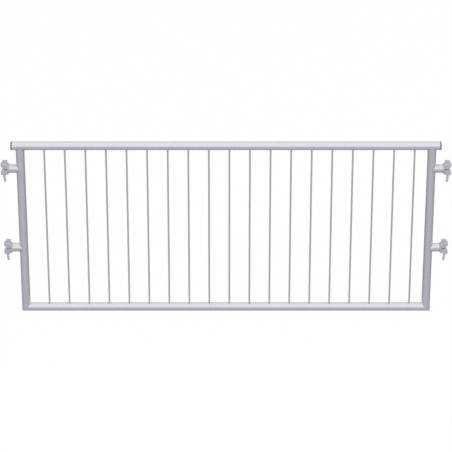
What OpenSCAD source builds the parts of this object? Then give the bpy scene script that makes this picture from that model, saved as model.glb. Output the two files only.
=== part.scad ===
// Crowd barrier panel that hangs between two scaffold standards on four wedge heads.
// Millimetres. +X runs along the panel, -Y is its front and +Z is up.
// The origin lies under the middle of the bottom rail, in the plane of the tube axes.

/* [Bay] */
// Distance between the two standards, axis to axis
bay_length = 2570; // [1600:10:3070]
// Diameter of the standards
standard_d = 48.3; // [44:0.1:60]
// Distance between the two rosettes that one side hangs on
rosette_pitch = 500; // [400:5:600]

/* [Frame] */
// Height over both rails
panel_height = 1076; // [1000:1:1250]
// Outside diameter of rails, posts and stubs
tube_d = 48.3; // [44:0.1:52]
// Wall of rails, posts and stubs
tube_wall = 2.7; // [2:0.1:4]
// Top rail past the axis of each post
rail_overhang = 43; // [32:1:58]
// Top rail axis down to the axis of the upper stubs
upper_stub_drop = 141; // [100:1:220]
// Post axis to the back face of each wedge head
stub_reach = 64.85; // [56:0.05:90]
// Gap that a coped tube end leaves for the weld root
weld_root_gap = 0.2; // [0.1:0.05:0.4]
// Diameter of the drain holes under the bottom rail
drain_d = 8; // [5:0.5:12]
// Drain hole to the axis of the nearer post
drain_inset = 60; // [50:1:120]

/* [Bars] */
// Diameter of the infill bars
bar_d = 10; // [8:0.5:16]

/* [Wedge head] */
// Contact line on the standard to the back face of the head
head_length = 46; // [45:0.25:52]
// Half height of the jaws at their crown
jaw_half_height = 38; // [35:0.5:41]
// Radius of the crown's front edge
nose_round = 6; // [4:0.5:10]
// Width of the land on the nose that meets the standard
nose_land = 20; // [16:0.5:22]
// Width of the jaws behind the bevelled nose
nose_width = 26; // [25:0.5:30]
// Width of the jaws where they run out into the collar
jaw_root_width = 41; // [38:0.5:44]
// Collar past the tube all round
collar_step = 4; // [3.2:0.1:5]
// Height of the mouth that takes the rosette
mouth_height = 11; // [9:0.5:13]
// Depth of the mouth
mouth_depth = 40; // [39:0.25:41]
// Half height of the flared lead-in at the contact line
flare_half_height = 17; // [12:0.5:20]
// Depth of the flared lead-in
flare_depth = 9.5; // [7:0.5:10]
// Spigot that centres the head in its stub
spigot_length = 10; // [6:0.5:16]
// Gap all round the spigot
spigot_gap = 0.3; // [0.2:0.05:0.6]

/* [Wedge] */
// Thickness of the wedge plate
wedge_thickness = 6; // [5:0.25:8]
// Top of the wedge above the stub axis
wedge_rise = 52.5; // [46:0.5:65]
// Tip of the wedge below the stub axis
wedge_drop = 81.5; // [76:0.5:100]
// Outer edge of the wedge from the contact line
wedge_front = 9.7; // [9.4:0.1:10.6]
// Width of the wedge at its top
wedge_top_width = 28.7; // [27:0.1:29.5]
// Width of the wedge where its tail starts
wedge_tail_width = 14.4; // [13:0.1:15]
// Width of the wedge at its tip
wedge_tip_width = 12.5; // [11.5:0.1:13]
// Height of the kink below the stub axis, where the tail starts to lean inward
wedge_kink = 47; // [42:1:52]
// Lean of the tail's middle line over its length
wedge_lean = 3.5; // [0:0.1:4]
// Play of the wedge in its slots
wedge_play = 0.4; // [0.3:0.05:0.6]

/* [Captive rivet] */
// Shank diameter of the rivet
rivet_d = 6; // [5:0.5:7]
// Head diameter of the rivet
rivet_head_d = 10; // [8.5:0.5:10]
// Head thickness of the rivet
rivet_head_t = 3.2; // [2:0.1:3.6]
// Rivet axis above the tip of the wedge
rivet_inset = 8; // [7:0.25:10]
// Gap of the rivet in its hole
rivet_gap = 0.1; // [0.05:0.05:0.2]
// Play of the rivet heads in their pocket
rivet_play = 0.8; // [0.5:0.1:1.2]
// Ceiling of the pocket above the mouth
pocket_rise = 14.5; // [14:0.25:16]

/* [End caps] */
// Thickness of the cap flange
cap_flange = 10.5; // [5:0.5:14]
// Edge radius of the cap flange
cap_round = 3.5; // [1:0.25:4.5]
// Length of the cap's plug
plug_length = 24; // [16:1:30]
// Wall of the plug
plug_wall = 2.4; // [1.5:0.1:3.5]
// Gap between the plug and the bore of the rail
plug_gap = 0.8; // [0.6:0.1:1.2]
// Gap between the plug's ribs and the bore of the rail
rib_gap = 0.2; // [0.1:0.05:0.4]
// Width of one rib on the plug
rib_width = 2; // [1.5:0.1:3]

/* [Welds] */
// Leg of the welds between tubes on the tube that runs through
run_weld = 2; // [1.6:0.1:2.4]
// Leg of the welds between tubes on the tube that ends there
branch_weld = 2.8; // [2.5:0.1:3.5]
// Leg of the welds round the bars
bar_weld = 3.2; // [2.5:0.1:4]
// Leg of the welds between heads and stubs
head_weld = 2.6; // [1.8:0.1:2.6]
// Height of the weld round a mitred corner
corner_weld = 0.8; // [0.5:0.1:1.2]
// Half width of the weld round a mitred corner
corner_weld_half = 3.5; // [2.5:0.25:5]
// Gap between a weld and the coped tube that it closes
weld_fit = 0.05; // [0.03:0.01:0.1]

/* [Hidden] */
$fn = 96;
// Overlength of every cutter
over = 1;
// Infill bars in one panel
bar_count = 19;
tube_r = tube_d / 2;
bore_r = tube_r - tube_wall;
bar_r = bar_d / 2;
standard_r = standard_d / 2;
nose_x = bay_length / 2 - standard_r;
post_x = nose_x - head_length - stub_reach;
top_z = panel_height - tube_r;
upper_z = top_z - upper_stub_drop;
lower_z = upper_z - rosette_pitch;
rail_length = 2 * (post_x + rail_overhang);
// The bars keep one clear gap from the left post on, and the rest is left at the right post.
bar_pitch = 2 * post_x / (bar_count + 1);
first_bar_x = -post_x + bar_pitch + tube_r - bar_r;
collar_r = tube_r + collar_step;
collar_length = 4.5;
collar_chamfer = 0.8;
// Stations along the head where its crown falls away, and how far it has fallen there
crown_mid = 24;
crown_mid_fall = 1.5;
crown_end = 38;
crown_end_fall = 4.3;
mouth_half = mouth_height / 2;
mouth_root = mouth_depth - mouth_half;
// Line along the wedge's inner edge, from the kink up to its top
wedge_back_top = wedge_front + wedge_top_width;
wedge_back_kink = wedge_front + wedge_tail_width;
wedge_taper = (wedge_back_top - wedge_back_kink) / (wedge_rise + wedge_kink);
function wedge_back(z) = wedge_back_top - wedge_taper * (wedge_rise - z);
wedge_corner = 1.2;
rivet_z = rivet_inset - wedge_drop;
tail_share = (wedge_drop - rivet_inset - wedge_kink) / (wedge_drop - wedge_kink);
tail_middle = wedge_front + wedge_tail_width / 2;
rivet_x = tail_middle + wedge_lean * tail_share;
slot_half = wedge_thickness / 2 + wedge_play;
pocket_half_x = rivet_head_d / 2 + rivet_play;
pocket_half_y = wedge_thickness / 2 + rivet_head_t + rivet_play;
pocket_top = mouth_half + pocket_rise;
// Part of the weld between equal tubes that is left off beside the tangent points
weld_side_cut = tube_r / 3;

// Helpers

// Turns what stands along +Z so that it lies along +X.
module along_x() {
    rotate([0, 90, 0]) children();
}

// Extrudes a profile drawn in X and Z to both sides of the panel's plane.
module across(width) {
    rotate([90, 0, 0]) linear_extrude(height = width, center = true) children();
}

// Hollow tube that stands on the origin.
module tube(length) {
    difference() {
        cylinder(h = length, r = tube_r);
        translate([0, 0, -over]) cylinder(h = length + 2 * over, r = bore_r);
    }
}

// Puts a left-hand connector, drawn from its contact line inward, on one side of the panel.
module on_left(z) {
    translate([-nose_x, 0, z]) children();
}

module on_right(z) {
    mirror([1, 0, 0]) on_left(z) children();
}

// Rails and posts

module top_rail() {
    color("silver")
    translate([-rail_length / 2, 0, top_z]) along_x() tube(rail_length);
}

module bottom_rail() {
    half = post_x + tube_r;
    color("silver")
    difference() {
        intersection() {
            translate([-half - over, 0, tube_r]) along_x() tube(2 * (half + over));
            across(tube_d + 2 * over) polygon([
                [-half - over, -over], [half + over, -over],
                [half - tube_d - over, tube_d + over], [-half + tube_d + over, tube_d + over]
            ]);
        }
        for (side = [-1, 1])
            translate([side * (post_x - drain_inset), 0, -over]) cylinder(h = tube_r, d = drain_d);
    }
}

// Post on the left, mitred to the bottom rail and coped under the top rail.
module post() {
    translate([-post_x, 0, 0])
    difference() {
        intersection() {
            translate([0, 0, -over]) tube(top_z + over);
            across(tube_d + 2 * over) polygon([
                [-tube_r - over, -over], [tube_r + over, tube_d + over],
                [tube_r + over, top_z], [-tube_r - over, top_z]
            ]);
        }
        translate([-tube_d, 0, top_z]) along_x() cylinder(h = 2 * tube_d, r = tube_r + weld_root_gap);
    }
}

module left_post() {
    color("silver") post();
}

module right_post() {
    color("silver") mirror([1, 0, 0]) post();
}

// Infill bars

// One bar between the rails, its ends coped to them; the first one is next to the left post.
module bar(index) {
    color("silver")
    translate([first_bar_x + index * bar_pitch, 0, 0])
    difference() {
        translate([0, 0, tube_r]) cylinder(h = top_z - tube_r, r = bar_r);
        for (z = [tube_r, top_z])
            translate([-bar_d, 0, z]) along_x() cylinder(h = 2 * bar_d, r = tube_r);
    }
}

// Connectors, drawn from the contact line on the standard inward along +X

module stub() {
    color("silver")
    difference() {
        translate([head_length, 0, 0]) along_x() tube(stub_reach);
        translate([head_length + stub_reach, 0, -tube_d]) cylinder(h = 2 * tube_d, r = tube_r + weld_root_gap);
    }
}

// Round blank of the head: crowned jaws that fall away to the collar, with the spigot behind.
module head_blank() {
    tip = -nose_round / 2;
    along_x() rotate_extrude() {
        polygon([
            [0, tip], [jaw_half_height - nose_round, tip], [jaw_half_height - nose_round, tip + nose_round],
            [jaw_half_height, tip + nose_round],
            [jaw_half_height - crown_mid_fall, crown_mid], [jaw_half_height - crown_end_fall, crown_end],
            [collar_r, head_length - collar_length], [collar_r, head_length - collar_chamfer],
            [collar_r - collar_chamfer, head_length], [bore_r - spigot_gap, head_length],
            [bore_r - spigot_gap, head_length + spigot_length], [0, head_length + spigot_length]
        ]);
        translate([jaw_half_height - nose_round, tip + nose_round]) circle(r = nose_round);
    }
}

// Plan of the head: bevelled nose, flanks that widen inward and step out to the full collar.
module head_plan() {
    root = head_length - collar_length;
    step = collar_r + over - jaw_root_width / 2;
    bevel = (nose_width - nose_land) / 2;
    back = head_length + spigot_length + over;
    wide = collar_r + over;
    linear_extrude(height = 2 * (jaw_half_height + over), center = true) polygon([
        [-nose_round, nose_land / 2 - nose_round + over], [-over, nose_land / 2], [bevel - over, nose_width / 2],
        [root - step, jaw_root_width / 2], [root, wide], [back, wide],
        [back, -wide], [root, -wide], [root - step, -jaw_root_width / 2],
        [bevel - over, -nose_width / 2], [-over, -nose_land / 2], [-nose_round, -nose_land / 2 + nose_round - over]
    ]);
}

// Mouth that slides over the rosette, flared at the nose and round at its root.
module mouth() {
    reach = standard_r;
    flare_slope = (flare_half_height - mouth_half) / flare_depth;
    wide = mouth_half + flare_slope * (flare_depth + reach);
    across(2 * (collar_r + over)) polygon([
        [-reach, -wide], [flare_depth, -mouth_half], [mouth_root, -mouth_half],
        [mouth_root, mouth_half], [flare_depth, mouth_half], [-reach, wide]
    ]);
    translate([mouth_root, collar_r + over, 0]) rotate([90, 0, 0])
        cylinder(h = 2 * (collar_r + over), r = mouth_half);
}

// Slots that guide the wedge, and the pocket in which the rivet heads run and come to a stop.
module wedge_slots() {
    high = jaw_half_height + over;
    front = wedge_front - wedge_play;
    lower_back = wedge_back(-mouth_half) + wedge_play;
    across(2 * slot_half) polygon([
        [front, 0], [wedge_back(0) + wedge_play, 0], [wedge_back(high) + wedge_play, high], [front, high]
    ]);
    translate([front, -slot_half, -high])
        cube([lower_back - front, 2 * slot_half, high]);
    translate([rivet_x - pocket_half_x, -pocket_half_y, -high])
        cube([2 * pocket_half_x, 2 * pocket_half_y, pocket_top + high]);
}

module head() {
    color("darkgray")
    difference() {
        intersection() {
            head_blank();
            head_plan();
        }
        translate([-standard_r, 0, -jaw_half_height - over])
            cylinder(h = 2 * (jaw_half_height + over), r = standard_r);
        mouth();
        wedge_slots();
    }
}

// Flat wedge whose inner edge is inclined and whose tail leans inward below the kink.
module wedge() {
    tip_back = tail_middle + wedge_lean + wedge_tip_width / 2;
    tip_front = tip_back - wedge_tip_width;
    top = wedge_rise - wedge_corner;
    tip = wedge_corner - wedge_drop;
    color("lightgray")
    difference() {
        across(wedge_thickness) polygon([
            [wedge_front, top], [wedge_front + wedge_corner, wedge_rise],
            [wedge_back_top - wedge_corner, wedge_rise], [wedge_back(top), top],
            [wedge_back_kink, -wedge_kink], [tip_back, tip], [tip_back - wedge_corner, -wedge_drop],
            [tip_front + wedge_corner, -wedge_drop], [tip_front, tip], [wedge_front, -wedge_kink]
        ]);
        translate([rivet_x, wedge_thickness, rivet_z]) rotate([90, 0, 0])
            cylinder(h = 2 * wedge_thickness, r = rivet_d / 2 + rivet_gap);
    }
}

// Rivet pressed through the tail, so that the wedge can't be pulled out of the head.
module rivet() {
    half = wedge_thickness / 2;
    edge = rivet_head_t / 3;
    head_r = rivet_head_d / 2;
    color("gray")
    translate([rivet_x, 0, rivet_z]) rotate([90, 0, 0]) rotate_extrude() polygon([
        [0, -half - rivet_head_t], [head_r - edge, -half - rivet_head_t], [head_r, -half - rivet_head_t + edge],
        [head_r, -half], [rivet_d / 2, -half], [rivet_d / 2, half], [head_r, half],
        [head_r, half + rivet_head_t - edge], [head_r - edge, half + rivet_head_t], [0, half + rivet_head_t]
    ]);
}

// Plastic plug in the left end of the top rail: flange outside, ribbed sleeve in the bore.
module end_cap() {
    sleeve_r = bore_r - plug_gap;
    rib_r = bore_r - rib_gap;
    rib_1 = plug_length / 4;
    rib_2 = plug_length / 2;
    rib_3 = plug_length * 3 / 4;
    edge_r = tube_r - cap_round;
    edge_x = cap_round - cap_flange;
    color("dimgray")
    translate([-rail_length / 2, 0, top_z]) along_x() rotate_extrude() {
        polygon([
            [0, -cap_flange], [edge_r, -cap_flange], [edge_r, edge_x], [tube_r, edge_x], [tube_r, 0],
            [sleeve_r, 0], [sleeve_r, rib_1], [rib_r, rib_1], [sleeve_r, rib_1 + rib_width],
            [sleeve_r, rib_2], [rib_r, rib_2], [sleeve_r, rib_2 + rib_width],
            [sleeve_r, rib_3], [rib_r, rib_3], [sleeve_r, rib_3 + rib_width],
            [sleeve_r, plug_length], [sleeve_r - plug_wall, plug_length], [sleeve_r - plug_wall, 0], [0, 0]
        ]);
        translate([edge_r, edge_x]) circle(r = cap_round);
    }
}

module left_end_cap() {
    end_cap();
}

module right_end_cap() {
    mirror([1, 0, 0]) end_cap();
}

// Welds

// Bead in the corner between two equal tubes that cross at the origin: one runs along Z, the other ends there from +X.
module tee_weld() {
    intersection() {
        difference() {
            translate([0, 0, -tube_d]) cylinder(h = 2 * tube_d, r = tube_r + run_weld);
            translate([0, 0, -tube_d - over]) cylinder(h = 2 * (tube_d + over), r = tube_r);
        }
        difference() {
            translate([weld_side_cut, 0, 0]) along_x() cylinder(h = tube_d, r = tube_r + branch_weld);
            along_x() cylinder(h = 2 * tube_d, r = tube_r + weld_fit);
        }
    }
}

module rail_welds() {
    color("gray")
    for (side = [-1, 1])
        translate([side * post_x, 0, top_z]) rotate([0, 90, 0]) tee_weld();
}

// Beads of the two stubs on the right post.
module stub_welds() {
    color("gray")
    for (z = [lower_z, upper_z])
        translate([post_x, 0, z]) tee_weld();
}

module right_stub_welds() {
    stub_welds();
}

module left_stub_welds() {
    mirror([1, 0, 0]) stub_welds();
}

// Half of the bead round the left mitre, on the bottom rail; it is ground away on the outside of the corner.
module mitre_bead() {
    reach = tube_d + over;
    band = corner_weld_half * sqrt(2);
    ground = tube_r - 0.3;
    intersection() {
        difference() {
            translate([-reach, 0, 0]) along_x() cylinder(h = 2 * reach, r = tube_r + corner_weld);
            translate([-reach - over, 0, 0]) along_x() cylinder(h = 2 * (reach + over), r = tube_r);
        }
        across(2 * reach) polygon([
            [-ground, -ground], [band - ground, -ground], [reach + band, reach], [reach, reach]
        ]);
    }
}

module corner_welds() {
    color("gray")
    for (side = [0, 1])
        mirror([side, 0, 0]) translate([-post_x, 0, tube_r]) {
            mitre_bead();
            mirror([1, 0, -1]) mitre_bead();
        }
}

module head_ring() {
    flat = 0.3;
    along_x() rotate_extrude() polygon([
        [tube_r, head_length], [tube_r + head_weld, head_length],
        [tube_r + flat, head_length + head_weld], [tube_r, head_length + head_weld]
    ]);
}

module head_welds() {
    color("gray")
    for (z = [lower_z, upper_z]) {
        on_left(z) head_ring();
        on_right(z) head_ring();
    }
}

// Bead round the foot of one bar on a rail whose axis runs along X through the origin.
module bar_bead() {
    sunk = 2;
    flat = 0.3;
    difference() {
        translate([0, 0, tube_r - sunk])
            cylinder(h = sunk + bar_weld, r1 = bar_r + bar_weld, r2 = bar_r + flat);
        cylinder(h = tube_d, r = bar_r);
        translate([-tube_d, 0, 0]) along_x() cylinder(h = 2 * tube_d, r = tube_r);
    }
}

module lower_bar_welds() {
    color("gray")
    for (index = [0 : bar_count - 1])
        translate([first_bar_x + index * bar_pitch, 0, tube_r]) bar_bead();
}

module upper_bar_welds() {
    color("gray")
    for (index = [0 : bar_count - 1])
        translate([first_bar_x + index * bar_pitch, 0, top_z]) mirror([0, 0, 1]) bar_bead();
}

// Assembly

top_rail();
bottom_rail();
left_post();
right_post();
bar(0);  // bar_01
bar(1);  // bar_02
bar(2);  // bar_03
bar(3);  // bar_04
bar(4);  // bar_05
bar(5);  // bar_06
bar(6);  // bar_07
bar(7);  // bar_08
bar(8);  // bar_09
bar(9);  // bar_10
bar(10);  // bar_11
bar(11);  // bar_12
bar(12);  // bar_13
bar(13);  // bar_14
bar(14);  // bar_15
bar(15);  // bar_16
bar(16);  // bar_17
bar(17);  // bar_18
bar(18);  // bar_19
on_left(upper_z) stub();  // left_upper_stub
on_left(lower_z) stub();  // left_lower_stub
on_right(upper_z) stub();  // right_upper_stub
on_right(lower_z) stub();  // right_lower_stub
on_left(upper_z) head();  // left_upper_head
on_left(lower_z) head();  // left_lower_head
on_right(upper_z) head();  // right_upper_head
on_right(lower_z) head();  // right_lower_head
on_left(upper_z) wedge();  // left_upper_wedge
on_left(lower_z) wedge();  // left_lower_wedge
on_right(upper_z) wedge();  // right_upper_wedge
on_right(lower_z) wedge();  // right_lower_wedge
on_left(upper_z) rivet();  // left_upper_rivet
on_left(lower_z) rivet();  // left_lower_rivet
on_right(upper_z) rivet();  // right_upper_rivet
on_right(lower_z) rivet();  // right_lower_rivet
left_end_cap();
right_end_cap();
rail_welds();
corner_welds();
left_stub_welds();
right_stub_welds();
head_welds();
upper_bar_welds();
lower_bar_welds();
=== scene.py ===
"""Looks of a crowd barrier panel that hangs between two scaffold standards on four wedge heads.

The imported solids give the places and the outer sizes; walls, gaps and edges are named below.
Lengths are metres: +X runs along the panel, -Y is its front and +Z is up.
"""

from __future__ import annotations

import logging
import math
from dataclasses import dataclass, field
from enum import Enum, Flag, auto
from functools import cached_property, reduce
from operator import add
from typing import Any, Callable, Iterable, Optional, Sequence, Union

import bmesh
import bpy
from bmesh.types import BMEdge, BMesh, BMVert
from mathutils import Matrix, Vector, noise


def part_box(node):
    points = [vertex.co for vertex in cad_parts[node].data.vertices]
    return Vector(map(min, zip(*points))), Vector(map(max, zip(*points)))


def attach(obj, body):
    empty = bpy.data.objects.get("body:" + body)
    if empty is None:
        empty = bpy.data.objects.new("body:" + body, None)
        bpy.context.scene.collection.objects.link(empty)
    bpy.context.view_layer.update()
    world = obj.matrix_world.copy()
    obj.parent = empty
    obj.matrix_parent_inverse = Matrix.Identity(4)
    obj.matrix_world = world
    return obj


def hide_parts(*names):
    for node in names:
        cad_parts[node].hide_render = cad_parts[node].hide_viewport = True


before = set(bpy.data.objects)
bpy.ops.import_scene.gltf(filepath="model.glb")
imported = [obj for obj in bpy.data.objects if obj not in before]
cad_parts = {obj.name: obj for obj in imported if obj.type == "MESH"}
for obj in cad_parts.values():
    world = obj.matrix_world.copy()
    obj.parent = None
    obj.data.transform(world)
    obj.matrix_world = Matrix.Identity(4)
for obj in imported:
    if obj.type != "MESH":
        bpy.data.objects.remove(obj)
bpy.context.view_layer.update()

LOG = logging.getLogger("barrier_panel")
MM = 0.001
FULL_TURN = 2 * math.pi
QUARTER_TURN = math.pi / 2
MERGE_DISTANCE = 0.001 * MM
SHARP_ANGLE = math.radians(35)
MIDDLE = 0.5
PANEL_BODY = "panel"
# Attribute of wear and painted light: the heads' lighter mouths and the wedges' darker tops
WEAR_AND_LIGHT_LAYER = "wear"

Rgb = tuple[float, float, float]
Point2 = tuple[float, float]
Number = Union[float, "Value"]


class Side(Enum):
    """End of the panel; the value is the sign of its place along X."""

    LEFT = -1
    RIGHT = 1

    @property
    def word(self) -> str:
        """The word that node names use for this end."""
        return self.name.lower()


class Level(Enum):
    """Row of connectors, or rail; the value is the word that node names use."""

    LOWER = "lower"
    UPPER = "upper"


class Slot(Enum):
    """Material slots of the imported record."""

    TUBE = "galvanised_tube"
    BAR = "galvanised_bar"
    CASTING = "galvanised_casting"
    WEDGE = "wedge_steel"
    RIVET = "rivet_steel"
    WELD = "weld_metal"
    CAP = "cap_plastic"


class Wear(Flag):
    """Where a finish finds its wear, and the painted light and shade that ride with it."""

    NONE = 0
    EDGES = auto()
    PAINTED = auto()


# Shader maths


@dataclass(frozen=True)
class Value:
    """One socket of a shader, with arithmetic that adds Math nodes."""

    graph: Graph
    socket: bpy.types.NodeSocket

    def __add__(self, other: Number) -> Value:
        """This value plus another."""
        return self.graph.math("ADD", self, other)

    def __sub__(self, other: Number) -> Value:
        """This value less another."""
        return self.graph.math("SUBTRACT", self, other)

    def __rsub__(self, other: Number) -> Value:
        """Another value less this one."""
        return self.graph.math("SUBTRACT", other, self)

    def __mul__(self, other: Number) -> Value:
        """This value times another."""
        return self.graph.math("MULTIPLY", self, other)

    __radd__ = __add__
    __rmul__ = __mul__


@dataclass(frozen=True)
class Graph:
    """The node tree of one material or of the world."""

    CLOUD_ROUGHNESS = 0.55
    # Noise that makes the crystals' borders ragged, set against the size of a crystal
    RAGGED_SCALE = 1.4
    RAGGED_SHIFT = 0.6
    RAGGED_DETAIL = 2.0

    tree: bpy.types.NodeTree

    def add(
        self, kind: str, output: str, settings: dict[str, Any], inputs: dict[str, Any]
    ) -> Optional[Value]:
        """Adds any node.

        Args:
            kind: Blender's name of the node's type.
            output: Name or identifier of the output that is wanted, or nothing for a last node.
            settings: Properties, which are set before the sockets.
            inputs: Plain values or links, by the socket's name or identifier.

        Returns:
            The wanted output.
        """
        node = self.tree.nodes.new(kind)
        for name, value in settings.items():
            setattr(node, name, value)
        for name, value in inputs.items():
            socket = self.find(node.inputs, name)
            if isinstance(value, Value):
                self.tree.links.new(value.socket, socket)
            else:
                socket.default_value = value
        return Value(self, self.find(node.outputs, output)) if output else None

    @staticmethod
    def find(sockets: Iterable[bpy.types.NodeSocket], name: str) -> bpy.types.NodeSocket:
        """The first socket in use that has this identifier or name."""
        return next(s for s in sockets if s.enabled and name in (s.identifier, s.name))

    def math(self, operation: str, first: Number, second: Number) -> Value:
        """One Math node on two numbers."""
        numbers = {"Value": first, "Value_001": second}
        return self.add("ShaderNodeMath", "Value", {"operation": operation}, numbers)

    def clamped(self, value: Value) -> Value:
        """The value kept from 0 to 1."""
        return self.add("ShaderNodeClamp", "Result", {}, {"Value": value})

    def step(self, value: Value, low: float, high: float) -> Value:
        """A smooth step from 0 at low to 1 at high."""
        limits = {"Value": value, "From Min": low, "From Max": high}
        return self.add("ShaderNodeMapRange", "Result", {"interpolation_type": "SMOOTHSTEP"}, limits)

    def around(self, middle: float, *swings: tuple[float, Value]) -> Value:
        """A number that weighted noises swing about its middle, where all of them are at one half."""
        start = middle - sum(weight for weight, _ in swings) / 2
        return reduce(add, (weight * level for weight, level in swings)) + start

    def place(self) -> Value:
        """Object coordinates, in metres."""
        return self.add("ShaderNodeTexCoord", "Object", {}, {})

    def clouds(self, place: Value, size: float, detail: float = 2.0) -> Value:
        """Soft noise.

        Args:
            place: Coordinates.
            size: Size of one patch in metres.
            detail: Number of finer layers.

        Returns:
            The noise, about 0.5 on the whole.
        """
        inputs = {
            "Vector": place,
            "Scale": 1 / size,
            "Detail": detail,
            "Roughness": self.CLOUD_ROUGHNESS,
        }
        return self.add("ShaderNodeTexNoise", "Fac", {}, inputs)

    def crystals(self, place: Value, size: float) -> Value:
        """A level that stays the same all over each crystal of a zinc coat.

        Args:
            place: Coordinates.
            size: Size of one crystal in metres.

        Returns:
            A random level for each crystal, from 0 to 1.
        """
        ragged = {"Vector": place, "Scale": self.RAGGED_SCALE / size, "Detail": self.RAGGED_DETAIL}
        shift = self.add("ShaderNodeTexNoise", "Color", {}, ragged)
        bend = {"Vector": shift, "Vector_001": (self.RAGGED_SHIFT * size,) * 3, "Vector_002": place}
        bent = self.add("ShaderNodeVectorMath", "Vector", {"operation": "MULTIPLY_ADD"}, bend)
        cells = self.add("ShaderNodeTexVoronoi", "Color", {}, {"Vector": bent, "Scale": 1 / size})
        return self.add("ShaderNodeSeparateColor", "Red", {}, {"Color": cells})

    def stretched(self, place: Value, scale: Rgb) -> Value:
        """Coordinates scaled along each axis, for drawn or ground lines."""
        return self.add("ShaderNodeMapping", "Vector", {}, {"Vector": place, "Scale": scale})

    def mixed(self, share: Number, first: Union[Rgb, Value], second: Union[Rgb, Value]) -> Value:
        """One colour turned into another.

        Args:
            share: 0 gives the first colour and 1 the second.
            first: A colour or a link.
            second: A colour or a link.

        Returns:
            The mixed colour.
        """
        inputs: dict[str, Any] = {"Factor_Float": share}
        for name, colour in (("A_Color", first), ("B_Color", second)):
            inputs[name] = colour if isinstance(colour, Value) else (*colour, 1.0)
        return self.add("ShaderNodeMix", "Result_Color", {"data_type": "RGBA"}, inputs)


# Finishes


@dataclass(frozen=True)
class Pattern:
    """What a finish varies over a surface: colour, roughness and relief."""

    tone: Value
    roughness: Value
    height: Value


@dataclass(frozen=True)
class Finish:
    """A surface finish, written as one procedural material."""

    # Pointiness of a clean edge and of a bare one
    EDGE_RANGE = (0.51, 0.57)
    # Patches scoured bare, and the least wear between them
    PATCH_SIZE = 4 * MM
    PATCH_DETAIL = 4.0
    PATCH_RANGE = (0.32, 0.62)
    LEAST_WEAR = 0.35
    # Roughness that rubbing takes off
    WORN_POLISH = 0.1

    name: str
    slot: Slot
    dark: Rgb
    light: Rgb
    roughness: float
    relief: float
    metallic: float = 1.0
    wear: Wear = Wear.NONE
    # Colour of wear, and of the painted light and shade that the painted share adds
    worn: Rgb = (0.86, 0.86, 0.88)

    def pattern(self, graph: Graph, place: Value) -> Pattern:
        """What varies over the surface, from its object coordinates; each finish has its own."""
        raise NotImplementedError

    def worn_share(self, graph: Graph, place: Value) -> Optional[Value]:
        """Works out the share of wear, painted light and painted shade at each point.

        Args:
            graph: The material's tree.
            place: Object coordinates.

        Returns:
            The share of wear and painted light, or None where the finish has none.
        """
        bare = []
        if Wear.EDGES in self.wear:
            edges = graph.add("ShaderNodeNewGeometry", "Pointiness", {}, {})
            bare.append(graph.step(edges, *self.EDGE_RANGE))
        if Wear.PAINTED in self.wear:
            bare.append(graph.add("ShaderNodeAttribute", "Fac", {"attribute_name": WEAR_AND_LIGHT_LAYER}, {}))
        if not bare:
            return None
        patches = graph.step(graph.clouds(place, self.PATCH_SIZE, self.PATCH_DETAIL), *self.PATCH_RANGE)
        return graph.clamped(reduce(add, bare) * (self.LEAST_WEAR + (1 - self.LEAST_WEAR) * patches))

    @cached_property
    def material(self) -> bpy.types.Material:
        """Writes the material, once.

        Returns:
            The material.
        """
        made = bpy.data.materials.new(self.name)
        made.use_nodes = True
        made.node_tree.nodes.clear()
        graph = Graph(made.node_tree)
        place = graph.place()
        pattern = self.pattern(graph, place)
        colour = graph.mixed(graph.clamped(pattern.tone), self.dark, self.light)
        roughness = pattern.roughness
        share = self.worn_share(graph, place)
        # Mixes in wear, and the painted light and shade where a finish paints them
        if share is not None:
            colour = graph.mixed(share, colour, self.worn)
            roughness = roughness - self.WORN_POLISH * share
        relief = {"Height": pattern.height, "Distance": self.relief}
        inputs = {
            "Base Color": colour,
            "Roughness": graph.clamped(roughness),
            "Metallic": self.metallic,
            "Normal": graph.add("ShaderNodeBump", "Normal", {}, relief),
        }
        surface = graph.add("ShaderNodeBsdfPrincipled", "BSDF", {}, inputs)
        graph.add("ShaderNodeOutputMaterial", "", {}, {"Surface": surface})
        return made


@dataclass(frozen=True)
class ZincCoat(Finish):
    """Hot-dip zinc: pale crystals under a cloudy bloom, with faint runs from the bath."""

    CLOUD_DETAIL = 5.0
    # Runs follow gravity out of the bath, along Z
    RUN_STRETCH = (1.0, 1.0, 0.12)

    crystal: float = 7 * MM
    cloud: float = 90 * MM
    dust: float = 0.9 * MM
    run: float = 6 * MM
    crystal_tone: float = 0.3
    cloud_tone: float = 0.5
    dust_tone: float = 0.2
    run_tone: float = 0.25
    crystal_dulling: float = 0.12
    cloud_dulling: float = 0.08
    cloud_height: float = 0.6
    run_height: float = 0.35
    dust_height: float = 0.05

    def pattern(self, graph: Graph, place: Value) -> Pattern:
        """Works out what varies.

        Args:
            graph: The material's tree.
            place: Object coordinates.

        Returns:
            Crystals, clouds, runs and a fine grain.
        """
        crystals = graph.crystals(place, self.crystal)
        clouds = graph.clouds(place, self.cloud, self.CLOUD_DETAIL)
        dust = graph.clouds(place, self.dust)
        runs = graph.clouds(graph.stretched(place, self.RUN_STRETCH), self.run)
        tone = graph.around(
            MIDDLE,
            (self.crystal_tone, crystals),
            (self.cloud_tone, clouds),
            (self.dust_tone, dust),
            (self.run_tone, runs),
        )
        dulling = ((self.crystal_dulling, crystals), (self.cloud_dulling, clouds))
        swell = ((self.cloud_height, clouds), (self.run_height, runs), (self.dust_height, dust))
        return Pattern(tone, graph.around(self.roughness, *dulling), graph.around(MIDDLE, *swell))


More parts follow.
